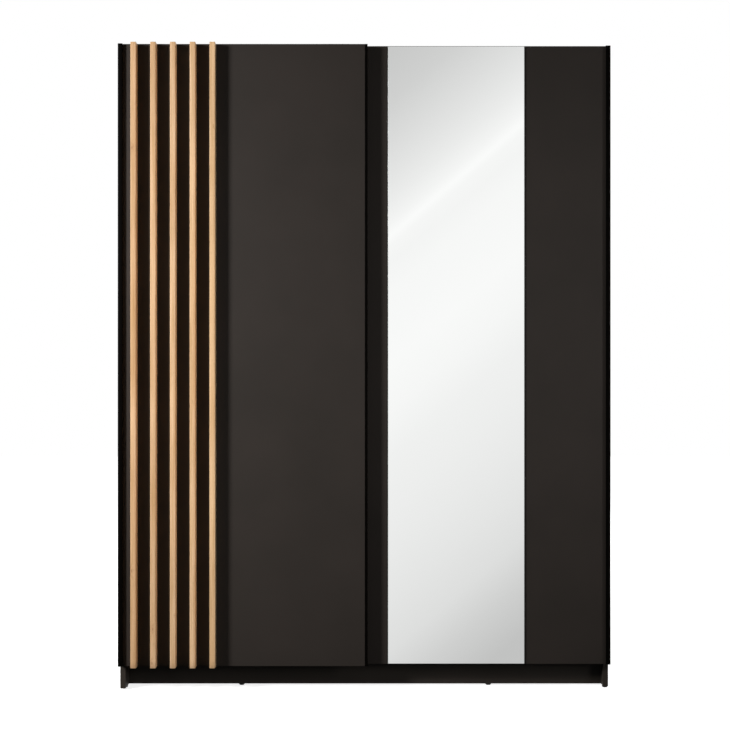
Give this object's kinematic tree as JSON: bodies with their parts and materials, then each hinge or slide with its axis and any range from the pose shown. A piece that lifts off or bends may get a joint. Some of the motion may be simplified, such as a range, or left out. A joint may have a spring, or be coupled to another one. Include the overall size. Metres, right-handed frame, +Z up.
{
  "type": "sliding-door wardrobe",
  "caption": "Tall free-standing wardrobe with overlapping sliding doors, vertical oak slats, a long mirror, and hanging and shelf compartments inside.",
  "frame": {"origin": "on the floor under the middle of the overall width and depth, at the height of the glides' undersides", "axes": "+X to the right as seen from the front, +Y towards the back, +Z up"},
  "size_m": [1.52, 0.61, 2],
  "materials": {
    "laminate_board": "matt graphite melamine laminate on particle board, with matching edge band",
    "hardboard": "thin hardboard, dark lacquered on the inside",
    "oak": "natural oak slats with a straight grain, matt",
    "beech": "raw fluted dowel",
    "black_aluminium": "black anodised extrusion, satin",
    "natural_aluminium": "natural anodised extrusion",
    "mirror_glass": "silvered float glass with ground edges",
    "foam_tape": "double-sided foam tape",
    "zinc_plated_steel": "zinc plated",
    "chromed_rail": "chromed oval tube",
    "wheel_nylon": "moulded natural nylon",
    "guide_plastic": "moulded black acetal",
    "black_plastic": "moulded or extruded black plastic",
    "rubber": "soft black rubber"
  },
  "bodies": {
    "carcass": {"left_side_panel": "laminate_board", "right_side_panel": "laminate_board", "top_panel": "laminate_board", "bottom_panel": "laminate_board", "centre_partition": "laminate_board", "front_plinth": "laminate_board", "rear_plinth": "laminate_board", "back_panel_left": "hardboard", "back_panel_right": "hardboard", "back_joiner": "black_plastic", "hat_shelf_left": "laminate_board", "hat_shelf_right": "laminate_board", "shelf_1": "laminate_board", "shelf_2": "laminate_board", "shelf_3": "laminate_board", "shelf_4": "laminate_board", "hanging_rail": "chromed_rail", "rail_brackets": "chromed_rail", "shelf_pins": "zinc_plated_steel", "floor_glides": "black_plastic", "cam_locks": "zinc_plated_steel", "cam_bolts": "zinc_plated_steel", "wood_dowels": "beech", "confirmat_screws": "zinc_plated_steel", "small_screws": "zinc_plated_steel", "running_track": "natural_aluminium", "guide_track": "black_aluminium", "track_end_stops": "rubber"},
    "front_door": {"front_door_panel": "laminate_board", "front_door_handle": "black_aluminium", "front_door_edge_profile": "black_aluminium", "slat_1": "oak", "slat_2": "oak", "slat_3": "oak", "slat_4": "oak", "slat_5": "oak", "slat_screws": "zinc_plated_steel", "front_hanger_left": "zinc_plated_steel", "front_hanger_right": "zinc_plated_steel", "front_axles": "zinc_plated_steel", "front_guides": "guide_plastic", "front_door_screws": "zinc_plated_steel"},
    "rear_door": {"rear_door_panel": "laminate_board", "rear_door_handle": "black_aluminium", "rear_door_edge_profile": "black_aluminium", "mirror": "mirror_glass", "mirror_tape": "foam_tape", "rear_hanger_left": "zinc_plated_steel", "rear_hanger_right": "zinc_plated_steel", "rear_axles": "zinc_plated_steel", "rear_guides": "guide_plastic", "rear_door_screws": "zinc_plated_steel"},
    "front_wheel_1": {"front_wheel_1": "wheel_nylon"},
    "front_wheel_2": {"front_wheel_2": "wheel_nylon"},
    "front_wheel_3": {"front_wheel_3": "wheel_nylon"},
    "front_wheel_4": {"front_wheel_4": "wheel_nylon"},
    "rear_wheel_1": {"rear_wheel_1": "wheel_nylon"},
    "rear_wheel_2": {"rear_wheel_2": "wheel_nylon"},
    "rear_wheel_3": {"rear_wheel_3": "wheel_nylon"},
    "rear_wheel_4": {"rear_wheel_4": "wheel_nylon"}
  },
  "joints": [
    {"name": "front_door", "type": "slide", "parent": "carcass", "child": "front_door", "axis": [1, 0, 0], "range_m": [0, 0.732]},
    {"name": "rear_door", "type": "slide", "parent": "carcass", "child": "rear_door", "axis": [1, 0, 0], "range_m": [-0.732, 0]},
    {"name": "front_wheel_1_spin", "type": "hinge", "parent": "front_door", "child": "front_wheel_1", "pos_m": [-0.685, -0.172, 1.9762], "axis": [0, 1, 0], "continuous": true},
    {"name": "front_wheel_2_spin", "type": "hinge", "parent": "front_door", "child": "front_wheel_2", "pos_m": [-0.635, -0.172, 1.9762], "axis": [0, 1, 0], "continuous": true},
    {"name": "front_wheel_3_spin", "type": "hinge", "parent": "front_door", "child": "front_wheel_3", "pos_m": [-0.117, -0.172, 1.9762], "axis": [0, 1, 0], "continuous": true},
    {"name": "front_wheel_4_spin", "type": "hinge", "parent": "front_door", "child": "front_wheel_4", "pos_m": [-0.067, -0.172, 1.9762], "axis": [0, 1, 0], "continuous": true},
    {"name": "rear_wheel_1_spin", "type": "hinge", "parent": "rear_door", "child": "rear_wheel_1", "pos_m": [0.685, -0.208, 1.9762], "axis": [0, 1, 0], "continuous": true},
    {"name": "rear_wheel_2_spin", "type": "hinge", "parent": "rear_door", "child": "rear_wheel_2", "pos_m": [0.635, -0.208, 1.9762], "axis": [0, 1, 0], "continuous": true},
    {"name": "rear_wheel_3_spin", "type": "hinge", "parent": "rear_door", "child": "rear_wheel_3", "pos_m": [0.117, -0.208, 1.9762], "axis": [0, 1, 0], "continuous": true},
    {"name": "rear_wheel_4_spin", "type": "hinge", "parent": "rear_door", "child": "rear_wheel_4", "pos_m": [0.067, -0.208, 1.9762], "axis": [0, 1, 0], "continuous": true}
  ],
  "couplings": [
    {"joint": "front_wheel_1_spin", "follows": "front_door", "rad_per_m": 100},
    {"joint": "front_wheel_2_spin", "follows": "front_door", "rad_per_m": 100},
    {"joint": "front_wheel_3_spin", "follows": "front_door", "rad_per_m": 100},
    {"joint": "front_wheel_4_spin", "follows": "front_door", "rad_per_m": 100},
    {"joint": "rear_wheel_1_spin", "follows": "rear_door", "rad_per_m": 100},
    {"joint": "rear_wheel_2_spin", "follows": "rear_door", "rad_per_m": 100},
    {"joint": "rear_wheel_3_spin", "follows": "rear_door", "rad_per_m": 100},
    {"joint": "rear_wheel_4_spin", "follows": "rear_door", "rad_per_m": 100}
  ]
}
